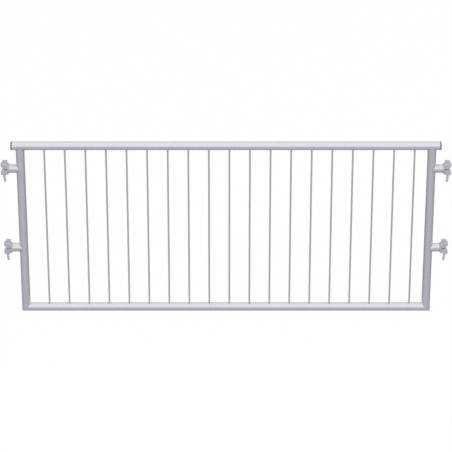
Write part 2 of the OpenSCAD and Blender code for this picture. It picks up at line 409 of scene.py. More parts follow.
@dataclass(frozen=True)
class CastZinc(Finish):
    """Zinc over a sand casting or a weld: lumps and pits."""

    CLOUD_DETAIL = 4.0
    LUMP_DETAIL = 3.0

    lump: float = 5 * MM
    pit: float = 1.3 * MM
    cloud: float = 30 * MM
    lump_tone: float = 0.45
    pit_tone: float = 0.35
    cloud_tone: float = 0.7
    lump_dulling: float = 0.1
    pit_dulling: float = 0.1
    lump_height: float = 1.0
    pit_height: float = 0.4

    def pattern(self, graph: Graph, place: Value) -> Pattern:
        """Works out what varies.

        Args:
            graph: The material's tree.
            place: Object coordinates.

        Returns:
            Lumps, pits and dull clouds.
        """
        lumps = graph.clouds(place, self.lump, self.LUMP_DETAIL)
        pits = graph.clouds(place, self.pit)
        clouds = graph.clouds(place, self.cloud, self.CLOUD_DETAIL)
        tones = ((self.cloud_tone, clouds), (self.lump_tone, lumps), (self.pit_tone, pits))
        roughness = graph.around(self.roughness, (self.lump_dulling, lumps), (self.pit_dulling, pits))
        height = graph.around(MIDDLE, (self.lump_height, lumps), (self.pit_height, pits))
        return Pattern(graph.around(MIDDLE, *tones), roughness, height)


@dataclass(frozen=True)
class RolledSteel(Finish):
    """Flat or round steel with faint lines along its length and dull patches."""

    LINE_STRETCH = (1.0, 1.0, 0.04)
    LINE_DETAIL = 3.0
    PATCHES_DETAIL = 4.0

    line: float = 0.7 * MM
    patch: float = 12 * MM
    line_tone: float = 0.5
    patch_tone: float = 0.6
    line_dulling: float = 0.08
    patch_dulling: float = 0.14
    line_height: float = 0.5
    patch_height: float = 0.5

    def pattern(self, graph: Graph, place: Value) -> Pattern:
        """Works out what varies.

        Args:
            graph: The material's tree.
            place: Object coordinates.

        Returns:
            Lines along Z and patches.
        """
        lines = graph.clouds(graph.stretched(place, self.LINE_STRETCH), self.line, self.LINE_DETAIL)
        patches = graph.clouds(place, self.patch, self.PATCHES_DETAIL)
        tone = graph.around(MIDDLE, (self.patch_tone, patches), (self.line_tone, lines))
        dulling = ((self.line_dulling, lines), (self.patch_dulling, patches))
        height = graph.around(MIDDLE, (self.line_height, lines), (self.patch_height, patches))
        return Pattern(tone, graph.around(self.roughness, *dulling), height)


@dataclass(frozen=True)
class MouldedPlastic(Finish):
    """Moulded plastic with a fine spark-eroded grain and scuffs."""

    SCUFF_STRETCH = (1.0, 0.35, 2.2)
    SCUFF_DETAIL = 6.0
    SCUFF_RANGE = (0.48, 0.8)
    BLOOM_DETAIL = 3.0

    grain: float = 0.5 * MM
    scuff: float = 7 * MM
    bloom: float = 25 * MM
    grain_tone: float = 0.35
    scuff_tone: float = 0.3
    bloom_tone: float = 0.5
    grain_dulling: float = -0.06
    scuff_dulling: float = 0.1
    bloom_dulling: float = 0.1

    def pattern(self, graph: Graph, place: Value) -> Pattern:
        """Works out what varies.

        Args:
            graph: The material's tree.
            place: Object coordinates.

        Returns:
            Grain, scuffs and a pale bloom.
        """
        grain = graph.clouds(place, self.grain)
        streaks = graph.clouds(graph.stretched(place, self.SCUFF_STRETCH), self.scuff, self.SCUFF_DETAIL)
        scuffs = graph.step(streaks, *self.SCUFF_RANGE)
        bloom = graph.clouds(place, self.bloom, self.BLOOM_DETAIL)
        tones = ((self.grain_tone, grain), (self.scuff_tone, scuffs), (self.bloom_tone, bloom))
        dulling = (
            (self.scuff_dulling, scuffs),
            (self.bloom_dulling, bloom),
            (self.grain_dulling, grain),
        )
        return Pattern(graph.around(MIDDLE, *tones), graph.around(self.roughness, *dulling), grain)


@dataclass(frozen=True)
class FinishSet:
    """The finishes of the panel, one for each material slot."""

    tube: Finish = ZincCoat(
        name="zinc_on_tube",
        slot=Slot.TUBE,
        dark=(0.68, 0.68, 0.735),
        light=(0.80, 0.80, 0.865),
        roughness=0.32,
        relief=0.10 * MM,
    )
    bar: Finish = ZincCoat(
        name="zinc_on_bar",
        slot=Slot.BAR,
        dark=(0.64, 0.64, 0.695),
        light=(0.76, 0.76, 0.825),
        roughness=0.34,
        relief=0.08 * MM,
        crystal=4 * MM,
    )
    casting: Finish = CastZinc(
        name="zinc_on_casting",
        slot=Slot.CASTING,
        dark=(0.42, 0.42, 0.46),
        light=(0.58, 0.58, 0.63),
        roughness=0.60,
        relief=0.5 * MM,
        metallic=0.5,
        # The painted share lightens the mouth: wear, and painted light against the shade in the slot
        wear=Wear.EDGES | Wear.PAINTED,
        worn=(0.74, 0.74, 0.78),
    )
    wedge: Finish = RolledSteel(
        name="zinc_on_flat",
        slot=Slot.WEDGE,
        dark=(0.538, 0.538, 0.584),
        light=(0.689, 0.689, 0.743),
        roughness=0.42,
        relief=0.1 * MM,
        metallic=0.65,
        # Its painted share darkens the struck top: hammer wear and painted shade
        wear=Wear.PAINTED,
        worn=(0.56, 0.556, 0.568),
    )
    rivet: Finish = RolledSteel(
        name="rivet_steel",
        slot=Slot.RIVET,
        dark=(0.46, 0.46, 0.50),
        light=(0.64, 0.64, 0.68),
        roughness=0.38,
        relief=0.06 * MM,
    )
    weld: Finish = CastZinc(
        name="zinc_on_weld",
        slot=Slot.WELD,
        dark=(0.48, 0.48, 0.525),
        light=(0.66, 0.66, 0.715),
        roughness=0.40,
        relief=0.15 * MM,
        lump=3 * MM,
        cloud=18 * MM,
    )
    cap: Finish = MouldedPlastic(
        name="cap_plastic",
        slot=Slot.CAP,
        dark=(0.13, 0.13, 0.138),
        light=(0.235, 0.235, 0.248),
        roughness=0.49,
        relief=0.05 * MM,
        metallic=0.0,
    )


# Mesh work


@dataclass
class Workpiece:
    """One mesh on the bench, from its first shape to a dressed piece."""

    # A weld bead; the depth of its ripples and the hand's wander are shares of its radius
    BEAD_SIDES = 12
    STEPS_PER_RIPPLE = 5
    RIPPLE_DEPTH = 0.22
    HAND_WANDER = 0.09
    WANDER_LENGTH = 6 * MM

    bm: BMesh = field(default_factory=bmesh.new)

    @classmethod
    def tube(cls, radius: float, wall: float, length: float, segments: int) -> Workpiece:
        """Makes a hollow tube that stands on the origin.

        Args:
            radius: Outside radius.
            wall: Thickness of the wall.
            length: Length along +Z.
            segments: Flats round the tube.

        Returns:
            The tube.
        """
        work = cls()
        for ring in (radius, radius - wall):
            bmesh.ops.create_circle(work.bm, segments=segments, radius=ring)
        bmesh.ops.bridge_loops(work.bm, edges=work.bm.edges[:])
        return work.extrude(Vector((0.0, 0.0, length)))

    @classmethod
    def rod(cls, radius: float, length: float, segments: int) -> Workpiece:
        """Makes a solid rod that stands on the origin.

        Args:
            radius: Radius of the rod.
            length: Length along +Z.
            segments: Flats round the rod.

        Returns:
            The rod.
        """
        work = cls()
        bmesh.ops.create_cone(
            work.bm,
            cap_ends=True,
            cap_tris=True,
            segments=segments,
            radius1=radius,
            radius2=radius,
            depth=length,
            matrix=Matrix.Translation((0.0, 0.0, length / 2)),
        )
        return work

    @classmethod
    def turned(cls, profile: Sequence[Point2], steps: int) -> Workpiece:
        """Turns a profile about the Z axis.

        Args:
            profile: Radius and height of each corner, from the axis back to the axis.
            steps: Steps of the full turn.

        Returns:
            The turned solid.
        """
        work = cls()
        verts = [work.bm.verts.new((radius, 0.0, height)) for radius, height in profile]
        edges = [work.bm.edges.new(pair) for pair in zip(verts, verts[1:])]
        return work.spin([*verts, *edges], steps)

    @classmethod
    def plate(cls, outline: Sequence[Point2], thickness: float) -> Workpiece:
        """Makes a flat plate in the plane of the panel.

        Args:
            outline: Corners in X and Z.
            thickness: Thickness across the panel.

        Returns:
            The plate, with its middle plane at Y 0.
        """
        work = cls()
        verts = [work.bm.verts.new((x, -thickness / 2, z)) for x, z in outline]
        bmesh.ops.contextual_create(work.bm, geom=verts)
        return work.extrude(Vector((0.0, thickness, 0.0)))

    @classmethod
    def bead(
        cls, ring: float, thickness: float, ripple: float, rise: Callable[[float], float]
    ) -> Workpiece:
        """Lays a rippled weld bead round the Z axis.

        Args:
            ring: Radius that the middle of the bead follows.
            thickness: Radius of the bead itself.
            ripple: Length of one ripple.
            rise: Height of the bead at an angle round the axis.

        Returns:
            The bead.
        """
        work = cls()
        stand = Matrix.Translation((ring, 0.0, 0.0)) @ Matrix.Rotation(QUARTER_TURN, 4, "X")
        bmesh.ops.create_circle(work.bm, segments=cls.BEAD_SIDES, radius=thickness, matrix=stand)
        steps = cls.STEPS_PER_RIPPLE * round(FULL_TURN * ring / ripple)
        work.spin([*work.bm.verts, *work.bm.edges], steps)
        for vert in work.bm.verts:
            angle = math.atan2(vert.co.y, vert.co.x)
            centre = Vector((ring * math.cos(angle), ring * math.sin(angle), 0.0))
            share = (round(angle * steps / FULL_TURN) % cls.STEPS_PER_RIPPLE) / cls.STEPS_PER_RIPPLE
            swell = 1.0 - cls.RIPPLE_DEPTH * share * share
            swell += cls.HAND_WANDER * noise.noise(centre / cls.WANDER_LENGTH)
            vert.co = centre + swell * (vert.co - centre) + Vector((0.0, 0.0, rise(angle)))
        return work

    @classmethod
    def copy_of(cls, node: str) -> Workpiece:
        """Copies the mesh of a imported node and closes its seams.

        Args:
            node: Name of the node.

        Returns:
            The copy.
        """
        work = cls()
        work.bm.from_mesh(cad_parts[node].data)
        bmesh.ops.remove_doubles(work.bm, verts=work.bm.verts[:], dist=MERGE_DISTANCE)
        return work

    def tidy(self) -> Workpiece:
        """Closes seams and poles, then turns the faces outwards.

        Returns:
            This workpiece.
        """
        bmesh.ops.remove_doubles(self.bm, verts=self.bm.verts[:], dist=MERGE_DISTANCE)
        bmesh.ops.recalc_face_normals(self.bm, faces=self.bm.faces[:])
        return self

    def spin(self, shape: Sequence[Union[BMVert, BMEdge]], steps: int) -> Workpiece:
        """Turns a shape all the way round the Z axis.

        Args:
            shape: Vertices and edges to turn.
            steps: Steps of the full turn.

        Returns:
            This workpiece.
        """
        bmesh.ops.spin(
            self.bm,
            geom=list(shape),
            cent=(0.0, 0.0, 0.0),
            axis=(0.0, 0.0, 1.0),
            dvec=(0.0, 0.0, 0.0),
            angle=FULL_TURN,
            steps=steps,
            use_merge=True,
            use_duplicate=False,
        )
        return self.tidy()

    def extrude(self, offset: Vector) -> Workpiece:
        """Draws a flat shape out into a solid.

        Args:
            offset: Direction and length.

        Returns:
            This workpiece.
        """
        made = bmesh.ops.extrude_face_region(self.bm, geom=self.bm.faces[:])
        moved = [item for item in made["geom"] if isinstance(item, BMVert)]
        bmesh.ops.translate(self.bm, verts=moved, vec=offset)
        return self.tidy()

    def bevel(
        self, width: float, segments: int, angle: float = SHARP_ANGLE, height: Optional[float] = None
    ) -> Workpiece:
        """Rounds every edge that is sharper than an angle.

        Args:
            width: Width that is taken off.
            segments: Steps of the rounding.
            angle: Least angle between two faces.
            height: Height of the edges to round, or None for all of them.

        Returns:
            This workpiece.
        """
        sharp = [edge for edge in self.bm.edges if edge.calc_face_angle(0.0) > angle]
        if height is not None:
            sharp = [e for e in sharp if all(abs(v.co.z - height) < MERGE_DISTANCE for v in e.verts)]
        bmesh.ops.bevel(
            self.bm,
            geom=sharp,
            offset=width,
            affect="EDGES",
            segments=segments,
            profile=0.5,
            material=-1,
            clamp_overlap=True,
        )
        return self

    def score(self, heights: Iterable[float]) -> Workpiece:
        """Adds edge loops at some heights.

        Args:
            heights: Heights of the loops.

        Returns:
            This workpiece.
        """
        for height in heights:
            geometry = [*self.bm.verts, *self.bm.edges, *self.bm.faces]
            level = Vector((0.0, 0.0, height))
            bmesh.ops.bisect_plane(self.bm, geom=geometry, plane_co=level, plane_no=(0.0, 0.0, 1.0))
        return self

    def mitre(self, point: Vector, keep: Vector) -> Workpiece:
        """Cuts a tube with a plane and closes the cut wall.

        Args:
            point: A point on the plane.
            keep: Direction from the plane to what stays.

        Returns:
            This workpiece.
        """
        geometry = [*self.bm.verts, *self.bm.edges, *self.bm.faces]
        bmesh.ops.bisect_plane(self.bm, geom=geometry, plane_co=point, plane_no=keep, clear_inner=True)
        rim = [edge for edge in self.bm.edges if edge.is_boundary]
        bmesh.ops.bridge_loops(self.bm, edges=rim)
        return self.tidy()

    def cope(self, near: float, axis_height: float, radius: float) -> Workpiece:
        """Fits one end to a tube that crosses along X.

        Args:
            near: Height of the end before the cope, short of that tube's axis.
            axis_height: Height of that tube's axis.
            radius: Radius of the cope.

        Returns:
            This workpiece.
        """
        sign = math.copysign(1.0, axis_height - near)
        for vert in self.bm.verts:
            if abs(vert.co.z - near) < MERGE_DISTANCE:
                depth = math.sqrt(max(radius * radius - vert.co.y * vert.co.y, 0.0))
                vert.co.z = axis_height - sign * depth
        return self

    def move(self, matrix: Matrix) -> Workpiece:
        """Puts the piece in place; a mirrored one has its faces turned outwards again.

        Args:
            matrix: Turn, mirror and shift.

        Returns:
            This workpiece.
        """
        bmesh.ops.transform(self.bm, matrix=matrix, verts=self.bm.verts[:])
        bmesh.ops.recalc_face_normals(self.bm, faces=self.bm.faces[:])
        return self

    def joined(self, other: Workpiece) -> Workpiece:
        """Takes another workpiece in as a separate shell.

        Args:
            other: What is taken in; it is freed.

        Returns:
            This workpiece.
        """
        mesh = bpy.data.meshes.new("joint")
        other.bm.to_mesh(mesh)
        other.bm.free()
        self.bm.from_mesh(mesh)
        bpy.data.meshes.remove(mesh)
        return self

    def paint_wear_and_light(self, share: Callable[[Vector], float]) -> Workpiece:
        """Stores the share of wear and painted light at each point.

        Args:
            share: Gives the wear and painted light at a point, from 0 to 1.

        Returns:
            This workpiece.
        """
        layer = self.bm.verts.layers.float.new(WEAR_AND_LIGHT_LAYER)
        for vert in self.bm.verts:
            vert[layer] = share(vert.co)
        return self

    def loose_object(self, name: str) -> bpy.types.Object:
        """Turns the mesh into an object of the scene and frees the bench.

        Args:
            name: Name of the object.

        Returns:
            The object.
        """
        mesh = bpy.data.meshes.new(name)
        self.bm.to_mesh(mesh)
        self.bm.free()
        thing = bpy.data.objects.new(name, mesh)
        bpy.context.scene.collection.objects.link(thing)
        return thing

    def through(self, *modifiers: tuple[str, dict[str, Any]]) -> Workpiece:
        """Sends the mesh through modifiers and takes the result back to the bench.

        Args:
            modifiers: Type and settings of each modifier, in order.

        Returns:
            A new workpiece.
        """
        thing = self.loose_object("bench")
        for kind, settings in modifiers:
            modifier = thing.modifiers.new(kind.lower(), kind)
            for name, value in settings.items():
                setattr(modifier, name, value)
        shaped = thing.evaluated_get(bpy.context.evaluated_depsgraph_get())
        work = Workpiece()
        work.bm.from_mesh(shaped.to_mesh())
        shaped.to_mesh_clear()
        bpy.data.meshes.remove(thing.data)
        return work

    def drilled(self, cutter: Workpiece) -> Workpiece:
        """Takes the shape of a cutter out of the piece.

        Args:
            cutter: Closed shape to take out.

        Returns:
            A new workpiece.
        """
        tool = cutter.loose_object("cutter")
        work = self.through(("BOOLEAN", {"operation": "DIFFERENCE", "solver": "EXACT", "object": tool}))
        bpy.data.meshes.remove(tool.data)
        return work

    def dressed(
        self, name: str, finish: Finish, nodes: Sequence[str], body: str = PANEL_BODY
    ) -> bpy.types.Object:
        """Makes the finished piece.

        Args:
            name: Name of the piece.
            finish: Its finish.
            nodes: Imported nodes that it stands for.
            body: Body that it moves with.

        Returns:
            The object.
        """
        thing = self.loose_object(name)
        thing.data.shade_smooth()
        thing.data.set_sharp_from_angle(angle=SHARP_ANGLE)
        thing.data.materials.append(finish.material)
        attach(thing, body)
        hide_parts(*nodes)
        LOG.info("%s: %d faces, on %s, for %s", name, len(thing.data.polygons), body, ", ".join(nodes))
        return thing


# Sub-assemblies


@dataclass(frozen=True)
class Sizes:
    """Sizes and places that the sub-assemblies share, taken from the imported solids."""

    tube_radius: float
    rail_half: float
    top_z: float
    bottom_z: float
    post_x: float
    stub_end: float
    levels: dict[Level, float]
    tube_wall: float = 2.7 * MM
    root_gap: float = 0.2 * MM
    head_length: float = 46 * MM
    tube_segments: int = 96

    @classmethod
    def of_frame(cls) -> Sizes:
        """Reads the boxes of the rails, the right post and its stubs.

        Returns:
            The sizes.
        """
        rail_low, rail_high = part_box("top_rail")
        post_low, post_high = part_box("right_post")
        stubs = {level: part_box(f"{Side.RIGHT.word}_{level.value}_stub") for level in Level}
        radius = (rail_high.z - rail_low.z) / 2
        return cls(
            tube_radius=radius,
            rail_half=rail_high.x,
            top_z=rail_high.z - radius,
            bottom_z=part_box("bottom_rail")[0].z + radius,
            post_x=(post_low.x + post_high.x) / 2,
            stub_end=max(high.x for _, high in stubs.values()),
            levels={level: (low.z + high.z) / 2 for level, (low, high) in stubs.items()},
        )

    @property
    def nose_x(self) -> float:
        """Distance from the middle of the panel to the line where a head meets its standard."""
        return self.stub_end + self.head_length

    @property
    def stub_reach(self) -> float:
        """Distance from the axis of a post to the back of a head."""
        return self.stub_end - self.post_x

    @property
    def cope_radius(self) -> float:
        """Radius of the cut at the end of a tube that meets another."""
        return self.tube_radius + self.root_gap

    def tube(self, length: float) -> Workpiece:
        """A length of the tube that rails, posts and stubs are cut from."""
        return Workpiece.tube(self.tube_radius, self.tube_wall, length, self.tube_segments)

    def inward(self, side: Side, distance: float, height: float) -> Matrix:
        """Lays what stands along +Z at a distance and a height, so that it points to the middle."""
        turn = Matrix.Rotation(-side.value * QUARTER_TURN, 4, "Y")
        return Matrix.Translation((side.value * distance, 0.0, height)) @ turn


@dataclass
class TubeFrame:
    """The two rails and the two posts."""

    sizes: Sizes
    finish: Finish
    drain_radius: float = 4 * MM
    drain_inset: float = 60 * MM
    drain_segments: int = 32

    def build(self) -> None:
        """Builds and dresses rails and posts."""
        self.build_top_rail()
        self.build_bottom_rail()
        for side in Side:
            self.build_post(side)

    def build_top_rail(self) -> None:
        """The top rail, square at both ends."""
        sizes = self.sizes
        rail = sizes.tube(2 * sizes.rail_half)
        rail.move(sizes.inward(Side.LEFT, sizes.rail_half, sizes.top_z))
        rail.dressed("top_rail_tube", self.finish, ["top_rail"])

    def build_bottom_rail(self) -> None:
        """The bottom rail, mitred at both ends and drilled to drain."""
        sizes = self.sizes
        half = sizes.post_x + sizes.tube_radius
        rail = sizes.tube(2 * half)
        rail.move(sizes.inward(Side.LEFT, half, sizes.bottom_z))
        for side in Side:
            rail.mitre(Vector((side.value * half, 0.0, 0.0)), Vector((-side.value, 0.0, -1.0)))
        for side in Side:
            drill = Workpiece.rod(self.drain_radius, sizes.tube_radius, self.drain_segments)
            place = (side.value * (sizes.post_x - self.drain_inset), 0.0, -sizes.tube_radius / 2)
            rail = rail.drilled(drill.move(Matrix.Translation(place)))
        rail.dressed("bottom_rail_tube", self.finish, ["bottom_rail"])

    def build_post(self, side: Side) -> None:
        """One post, mitred below and coped under the top rail.

        Args:
            side: End of the panel.
        """
        sizes = self.sizes
        length = sizes.top_z - sizes.tube_radius / 2
        post = sizes.tube(length).cope(length, sizes.top_z, sizes.cope_radius)
        post.move(Matrix.Translation((side.value * sizes.post_x, 0.0, 0.0)))
        corner = Vector((side.value * (sizes.post_x + sizes.tube_radius), 0.0, 0.0))
        post.mitre(corner, Vector((side.value, 0.0, 1.0)))
        post.dressed(f"{side.word}_post_tube", self.finish, [f"{side.word}_post"])


@dataclass
class InfillBars:
    """The upright round bars between the rails."""

    sizes: Sizes
    finish: Finish
    segments: int = 40

    @cached_property
    def places(self) -> dict[str, float]:
        """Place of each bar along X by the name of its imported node, from the left."""
        boxes = {node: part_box(node) for node in sorted(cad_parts) if node.startswith("bar_")}
        return {node: (low.x + high.x) / 2 for node, (low, high) in boxes.items()}

    @cached_property
    def radius(self) -> float:
        """Radius of a bar, from the box of the first one."""
        low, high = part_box(next(iter(self.places)))
        return (high.x - low.x) / 2

    def build(self) -> None:
        """Builds and dresses the bars, coped to both rails."""
        sizes = self.sizes
        foot = sizes.bottom_z + sizes.tube_radius / 2
        length = sizes.top_z - sizes.tube_radius / 2 - foot
        for node, x in self.places.items():
            bar = Workpiece.rod(self.radius, length, self.segments)
            bar.move(Matrix.Translation((x, 0.0, foot)))
            bar.cope(foot, sizes.bottom_z, sizes.tube_radius)
            bar.cope(foot + length, sizes.top_z, sizes.tube_radius)
            bar.dressed(f"infill_{node}", self.finish, [node])


@dataclass
class Connector:
    """One stub with its cast wedge head, captive wedge and rivet."""

    sizes: Sizes
    finishes: FinishSet
    side: Side
    level: Level
    cast_voxel: float = 0.7 * MM
    cast_smoothing: int = 9
    cast_softness: float = 0.5
    mouth_half: float = 5.5 * MM
    mouth_depth: float = 40 * MM
    # Distance outside the mouth over which its wear and painted light fade
    mouth_wear_and_light_fade: float = 1 * MM
    wedge_top_width: float = 28.7 * MM
    wedge_tail_width: float = 14.4 * MM
    wedge_tip_width: float = 12.5 * MM
    wedge_kink: float = 47 * MM
    wedge_lean: float = 3.5 * MM
    wedge_corner: float = 1.2 * MM
    wedge_round: float = 0.5 * MM
    # The struck top: its depth, and its thickness as a share of the plate's
    burr_depth: float = 3 * MM
    burr_spread: float = 1.18
    dent: float = 0.5 * MM
    dent_length: float = 5 * MM
    wear_and_shade_depth: float = 16 * MM
    # Depths of the loops that carry the wear and painted shade, as shares of its depth
    wear_and_shade_scores: tuple[float, ...] = (0.1, 0.2, 0.35, 0.6, 1.0)
    rivet_radius: float = 3 * MM
    rivet_head_radius: float = 5 * MM
    rivet_head_height: float = 3.2 * MM
    rivet_rim_share: float = 1 / 3
    rivet_inset: float = 8 * MM
    # Edge of the snap head's crown: share of the head's radius, and drop below its middle
    rivet_crown_share: float = 0.55
    rivet_crown_drop: float = 0.3 * MM
    rivet_edge: float = 0.5 * MM
    rivet_angle: float = math.radians(20)
    rivet_steps: int = 48
    edge_steps: int = 3

    @property
    def prefix(self) -> str:
        """First words of the names of this connector's nodes."""
        return f"{self.side.word}_{self.level.value}"

    @property
    def wedge_body(self) -> str:
        """Body that the wedge and its rivet move with."""
        return f"{self.prefix}_wedge_body"

    @property
    def height(self) -> float:
        """Height of the stub's axis."""
        return self.sizes.levels[self.level]

    @property
    def place(self) -> Matrix:
        """Places what is drawn from the contact line inward along +X."""
        mirror = Matrix.Diagonal((-self.side.value, 1.0, 1.0, 1.0))
        return Matrix.Translation((self.side.value * self.sizes.nose_x, 0.0, self.height)) @ mirror

    @cached_property
    def wedge_box(self) -> tuple[Vector, Vector]:
        """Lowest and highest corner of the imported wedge."""
        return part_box(f"{self.prefix}_wedge")

    @property
    def wedge_thickness(self) -> float:
        """Thickness of the wedge plate."""
        return self.wedge_box[1].y - self.wedge_box[0].y

    @property
    def wedge_rise(self) -> float:
        """Top of the wedge above the stub's axis."""
        return self.wedge_box[1].z - self.height

    @property
    def wedge_drop(self) -> float:
        """Tip of the wedge below the stub's axis."""
        return self.height - self.wedge_box[0].z

    @property
    def wedge_front(self) -> float:
        """Outer edge of the wedge from the contact line."""
        return self.sizes.nose_x - max(abs(corner.x) for corner in self.wedge_box)

    @property
    def tail_middle(self) -> float:
        """Middle of the wedge at the kink, from the contact line."""
        return self.wedge_front + self.wedge_tail_width / 2

    def build(self) -> None:
        """Builds and dresses the connector."""
        self.build_stub()
        self.build_head()
        self.build_wedge()
        self.build_rivet()

    def build_stub(self) -> None:
        """The stub, coped to the post."""
        sizes = self.sizes
        length = sizes.stub_reach - sizes.tube_radius / 2
        stub = sizes.tube(length).cope(length, sizes.stub_reach, sizes.cope_radius)
        stub.move(sizes.inward(self.side, sizes.stub_end, self.height))
        stub.dressed(f"{self.prefix}_stub_tube", self.finishes.tube, [f"{self.prefix}_stub"])

    def build_head(self) -> None:
        """The casting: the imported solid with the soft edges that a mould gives."""
        node = f"{self.prefix}_head"
        head = Workpiece.copy_of(node).through(
            ("REMESH", {"mode": "VOXEL", "voxel_size": self.cast_voxel}),
            ("SMOOTH", {"factor": self.cast_softness, "iterations": self.cast_smoothing}),
        )
        # Paints the mouth bright: part wear, part painted light against the shade inside the slot
        head.paint_wear_and_light(self.mouth_wear_and_light)
        head.dressed(f"{self.prefix}_cast_head", self.finishes.casting, [node])

    def mouth_wear_and_light(self, point: Vector) -> float:
        """Wear and painted light of the head: bright in the mouth, partly wear from sliding over the
        rosette, partly painted light that lifts the shade inside the slot.

        Args:
            point: A point of the head, in the panel's frame.

        Returns:
            The share of wear and painted light.
        """
        above = abs(point.z - self.height) - self.mouth_half
        behind = self.sizes.nose_x - abs(point.x) - self.mouth_depth
        return max(0.0, 1.0 - max(above, behind, 0.0) / self.mouth_wear_and_light_fade)

    def wedge_outline(self) -> list[Point2]:
        """Corners of the wedge.

        Returns:
            Distance from the contact line and height, round the plate.
        """
        front = self.wedge_front
        back_top = front + self.wedge_top_width
        back_kink = front + self.wedge_tail_width
        corner = self.wedge_corner
        top = self.wedge_rise - corner
        taper = (back_top - back_kink) / (self.wedge_rise + self.wedge_kink)
        tip_back = self.tail_middle + self.wedge_lean + self.wedge_tip_width / 2
        tip_front = tip_back - self.wedge_tip_width
        return [
            (front, top),
            (front + corner, self.wedge_rise),
            (back_top - corner, self.wedge_rise),
            (back_top - taper * corner, top),
            (back_kink, -self.wedge_kink),
            (tip_back, corner - self.wedge_drop),
            (tip_back - corner, -self.wedge_drop),
            (tip_front + corner, -self.wedge_drop),
            (tip_front, corner - self.wedge_drop),
            (front, -self.wedge_kink),
        ]

    def hammer_wear_and_shade(self, point: Vector) -> float:
        """Wear and painted shade of the wedge, from 0 to 1: bare where the hammer strikes, clean further
        down; the darker top is partly hammer wear, partly painted shade on its lit top face.
        """
        return max(0.0, 1.0 - (self.wedge_rise - point.z) / self.wear_and_shade_depth)

    def build_wedge(self) -> None:
        """The wedge, its edges broken and its top spread by the hammer."""
        wedge = Workpiece.plate(self.wedge_outline(), self.wedge_thickness)
        wedge.score(self.wedge_rise - share * self.wear_and_shade_depth for share in self.wear_and_shade_scores)
        for vert in wedge.bm.verts:
            spread = max(0.0, 1.0 - (self.wedge_rise - vert.co.z) / self.burr_depth)
            vert.co.y *= 1.0 + (self.burr_spread - 1.0) * spread
        wedge.bevel(self.wedge_round, self.edge_steps)
        for vert in wedge.bm.verts:
            blow = noise.noise(vert.co / self.dent_length + self.place.translation)
            vert.co.z -= self.dent * abs(blow) * self.hammer_wear_and_shade(vert.co)
        # Paints the struck top darker: hammer wear, and painted shade that dims its lit top face
        wedge.paint_wear_and_light(self.hammer_wear_and_shade)
        wedge.move(self.place)
        nodes = [f"{self.prefix}_wedge"]
        wedge.dressed(f"{self.prefix}_wedge_plate", self.finishes.wedge, nodes, self.wedge_body)

    def build_rivet(self) -> None:
        """The rivet through the wedge's tail, with a snap head on both sides."""
        half = self.wedge_thickness / 2
        far = half + self.rivet_head_height
        rim = half + self.rivet_head_height * self.rivet_rim_share
        crown = self.rivet_head_radius * self.rivet_crown_share
        brow = far - self.rivet_crown_drop
        profile = [
            (0.0, -far),
            (crown, -brow),
            (self.rivet_head_radius, -rim),
            (self.rivet_head_radius, -half),
            (self.rivet_radius, -half),
            (self.rivet_radius, half),
            (self.rivet_head_radius, half),
            (self.rivet_head_radius, rim),
            (crown, brow),
            (0.0, far),
        ]
        tail = self.wedge_drop - self.wedge_kink
        lean = self.wedge_lean * (tail - self.rivet_inset) / tail
        axis = Vector((self.tail_middle + lean, 0.0, self.rivet_inset - self.wedge_drop))
        rivet = Workpiece.turned(profile, self.rivet_steps)
        rivet.bevel(self.rivet_edge, self.edge_steps, self.rivet_angle)
        rivet.move(self.place @ Matrix.Translation(axis) @ Matrix.Rotation(QUARTER_TURN, 4, "X"))
        nodes = [f"{self.prefix}_rivet"]
        rivet.dressed(f"{self.prefix}_snap_rivet", self.finishes.rivet, nodes, self.wedge_body)


@dataclass
class EndCaps:
    """The plastic plugs in the ends of the top rail."""

    sizes: Sizes
    finish: Finish
    dome_rise: float = 2.4 * MM
    # Rings of the dome, as shares of the radius
    dome_shares: tuple[float, ...] = (0.25, 0.4, 0.55, 0.7, 0.85)
    gate_radius: float = 2.5 * MM
    gate_depth: float = 0.4 * MM
    edge: float = 2.5 * MM
    edge_steps: int = 7
    plug_gap: float = 0.8 * MM
    plug_wall: float = 2.4 * MM
    rib_gap: float = 0.2 * MM
    rib_width: float = 2 * MM
    # Ribs along the sleeve, as shares of its length
    rib_shares: tuple[float, ...] = (0.25, 0.5, 0.75)
    small_edge: float = 0.25 * MM
    small_edge_steps: int = 2
    small_edge_angle: float = math.radians(25)
    steps: int = 96

    @cached_property
    def flange(self) -> float:
        """Thickness of the flange past the end of the rail."""
        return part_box(f"{Side.RIGHT.word}_end_cap")[1].x - self.sizes.rail_half

    @cached_property
    def plug(self) -> float:
        """Length of the sleeve in the rail."""
        return self.sizes.rail_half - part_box(f"{Side.RIGHT.word}_end_cap")[0].x

    @property
    def rim(self) -> float:
        """Distance of the dome's rim from the end of the rail."""
        return self.flange - self.dome_rise

    def profile(self) -> list[Point2]:
        """Profile of a cap: a low dome with the small mark of the mould's gate, and a ribbed sleeve.

        Returns:
            Radius and distance inward from the end of the rail, from the axis back to the axis.
        """
        radius = self.sizes.tube_radius
        bore = radius - self.sizes.tube_wall
        sleeve = bore - self.plug_gap
        crown = -self.flange
        gate = crown + self.gate_depth
        points = [(0.0, gate), (self.gate_radius, gate), (self.gate_radius + self.gate_depth, crown)]
        points += [(share * radius, crown + self.dome_rise * share**2) for share in self.dome_shares]
        points += [(radius, -self.rim), (radius, 0.0), (sleeve, 0.0)]
        for share in self.rib_shares:
            start = share * self.plug
            points += [(sleeve, start), (bore - self.rib_gap, start), (sleeve, start + self.rib_width)]
        inner = sleeve - self.plug_wall
        return points + [(sleeve, self.plug), (inner, self.plug), (inner, 0.0), (0.0, 0.0)]

    def build(self) -> None:
        """Builds and dresses both caps."""
        for side in Side:
            cap = Workpiece.turned(self.profile(), self.steps)
            cap.bevel(self.edge, self.edge_steps, height=-self.rim)
            cap.bevel(self.small_edge, self.small_edge_steps, self.small_edge_angle)
            cap.move(self.sizes.inward(side, self.sizes.rail_half, self.sizes.top_z))
            cap.dressed(f"{side.word}_rail_cap", self.finish, [f"{side.word}_end_cap"])


